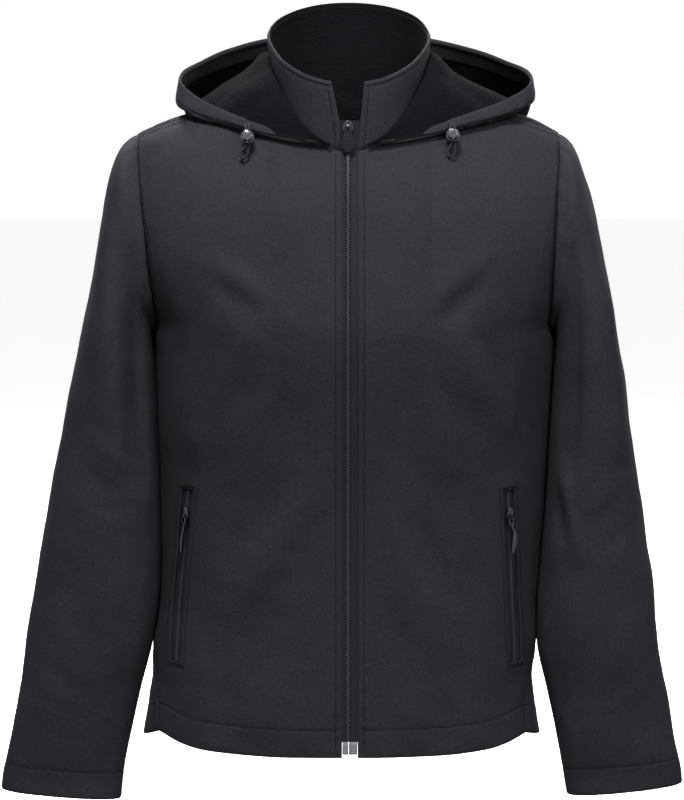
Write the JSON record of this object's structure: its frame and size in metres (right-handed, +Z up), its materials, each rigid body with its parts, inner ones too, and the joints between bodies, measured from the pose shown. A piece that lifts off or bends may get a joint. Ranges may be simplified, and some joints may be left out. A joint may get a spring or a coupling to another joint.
{
  "type": "softshell jacket",
  "caption": "Hooded softshell jacket in its worn form with no wearer: front zip, stand collar, let-down hood with drawcord locks, zipped hand pockets, hollow body and sleeves.",
  "frame": {"origin": "middle of the neck, level with the top of the shoulders at the neck: where the wearer's shoulders carry the jacket", "axes": "+Z up, the front faces -Y, +X to the wearer's left"},
  "size_m": [0.6815, 0.2951, 0.7962],
  "materials": {
    "shell": "matte bonded woven softshell",
    "fleece": "brushed fleece lining",
    "tape": "woven zip tape",
    "teeth": "moulded plastic",
    "dark_metal": "gunmetal plating",
    "bright_metal": "satin",
    "rubber": "matte moulded",
    "lock": "translucent grey",
    "cord": "braided elastic"
  },
  "bodies": {
    "jacket": {"front_right": "shell", "front_left": "shell", "back": "shell", "sleeve_right": "shell", "sleeve_left": "shell", "collar": "shell", "hood": "shell", "chin_guard": "fleece", "zip_tape_right": "tape", "zip_tape_left": "tape", "zip_chain": "teeth", "zip_pin": "bright_metal", "zip_retainer": "bright_metal", "zip_slider": "dark_metal", "pocket_tape_right": "tape", "pocket_chain_right": "teeth", "pocket_slider_right": "dark_metal", "hood_cord_right": "cord", "cord_lock_right": "lock", "pocket_tape_left": "tape", "pocket_chain_left": "teeth", "pocket_slider_left": "dark_metal", "hood_cord_left": "cord", "cord_lock_left": "lock"},
    "zip_pull": {"zip_pull": "rubber"},
    "pocket_pull_right": {"pocket_pull_right": "rubber"},
    "pocket_pull_left": {"pocket_pull_left": "rubber"},
    "lock_button_right": {"lock_button_right": "lock"},
    "lock_button_left": {"lock_button_left": "lock"}
  },
  "joints": [
    {"name": "zip_pull_hinge", "type": "hinge", "parent": "jacket", "child": "zip_pull", "pos_m": [-0.0013, -0.09038, -0.04069], "axis": [-1, 0, 0], "range_deg": [0, 150]},
    {"name": "pocket_pull_right_hinge", "type": "hinge", "parent": "jacket", "child": "pocket_pull_right", "pos_m": [-0.16143, -0.06167, -0.42061], "axis": [-0.7158, 0.6983, 0], "range_deg": [0, 150]},
    {"name": "pocket_pull_left_hinge", "type": "hinge", "parent": "jacket", "child": "pocket_pull_left", "pos_m": [0.15795, -0.0702, -0.42071], "axis": [-0.8099, -0.5865, 0], "range_deg": [0, 150]},
    {"name": "lock_button_right_press", "type": "slide", "parent": "jacket", "child": "lock_button_right", "axis": [0, 0.9659, -0.2588], "range_m": [0, 0.003], "stiffness_N_per_m": 900, "springref_m": -0.002},
    {"name": "lock_button_left_press", "type": "slide", "parent": "jacket", "child": "lock_button_left", "axis": [0, 0.9659, -0.2588], "range_m": [0, 0.003], "stiffness_N_per_m": 900, "springref_m": -0.002}
  ]
}
